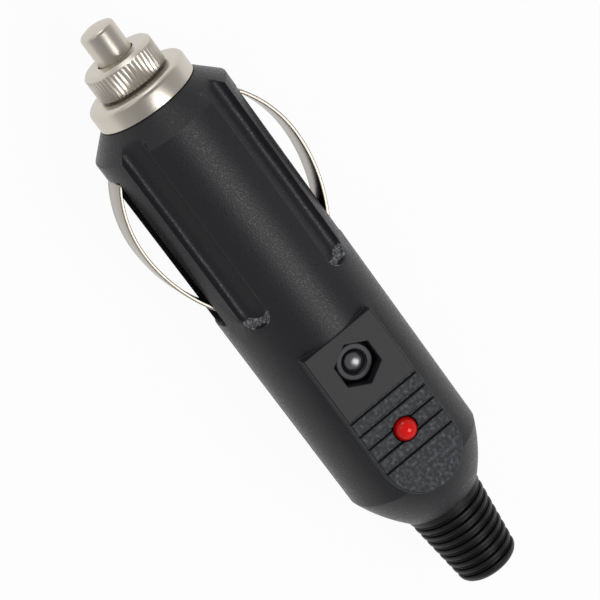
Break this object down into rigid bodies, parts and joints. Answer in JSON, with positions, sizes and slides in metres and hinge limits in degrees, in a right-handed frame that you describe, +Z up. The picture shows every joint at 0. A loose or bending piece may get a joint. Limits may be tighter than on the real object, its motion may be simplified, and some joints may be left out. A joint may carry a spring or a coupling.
{
  "type": "car cigarette lighter plug",
  "caption": "Fused plug for a car lighter socket: black split housing, sprung nickel tip in a knurled screw cap, bowed side contacts, red lamp and ribbed strain relief.",
  "frame": {"origin": "on the surface that the plug lies on, under the middle of its length", "axes": "+X from the tip towards the cord end, +Y towards the right side contact, +Z up out of the grip pad"},
  "size_m": [0.0948, 0.0264, 0.0222],
  "materials": {
    "black_abs": "fine moulded satin",
    "nickel_plate": "polished nickel plating on brass",
    "spring_steel": "drawn wire",
    "fuse_glass": "clear",
    "tinned_wire": "tinned",
    "plain_brass": "stamped",
    "black_steel": "blackened",
    "red_epoxy": "glossy tinted resin",
    "resistor_lacquer": "lacquered",
    "black_rubber": "moulded satin"
  },
  "bodies": {
    "housing": {"upper_housing": "black_abs", "lower_housing": "black_abs", "threaded_bush": "nickel_plate", "fuse_tube": "fuse_glass", "fuse_front_cap": "nickel_plate", "fuse_rear_cap": "nickel_plate", "fuse_wire": "tinned_wire", "fuse_terminal": "plain_brass", "clamp_screw": "black_steel", "clamp_nut": "black_steel", "led_lamp": "red_epoxy", "led_anode_lead": "tinned_wire", "led_cathode_lead": "tinned_wire", "led_resistor": "resistor_lacquer", "strain_relief": "black_rubber"},
    "spring_stack": {"contact_spring": "spring_steel"},
    "cap": {"knurled_cap": "nickel_plate"},
    "tip": {"center_contact": "nickel_plate"},
    "left_contact": {"left_side_contact": "nickel_plate"},
    "right_contact": {"right_side_contact": "nickel_plate"}
  },
  "joints": [
    {"name": "cap_travel", "type": "slide", "parent": "housing", "child": "spring_stack", "axis": [-1, 0, 0], "range_m": [0, 0.004]},
    {"name": "cap_turn", "type": "hinge", "parent": "spring_stack", "child": "cap", "pos_m": [-0.038, 0, 0.01045], "axis": [-1, 0, 0], "range_deg": [0, 1441]},
    {"name": "tip_press", "type": "slide", "parent": "spring_stack", "child": "tip", "axis": [1, 0, 0], "range_m": [0, 0.003], "stiffness_N_per_m": 600, "springref_m": -0.002, "deforming": ["contact_spring"]},
    {"name": "left_contact_press", "type": "slide", "parent": "housing", "child": "left_contact", "axis": [0, 1, 0], "range_m": [0, 0.0028], "stiffness_N_per_m": 1500, "springref_m": -0.001},
    {"name": "right_contact_press", "type": "slide", "parent": "housing", "child": "right_contact", "axis": [0, -1, 0], "range_m": [0, 0.0028], "stiffness_N_per_m": 1500, "springref_m": -0.001}
  ],
  "couplings": [
    {"joint": "cap_turn", "follows": "cap_travel", "rad_per_m": 6283.2}
  ]
}
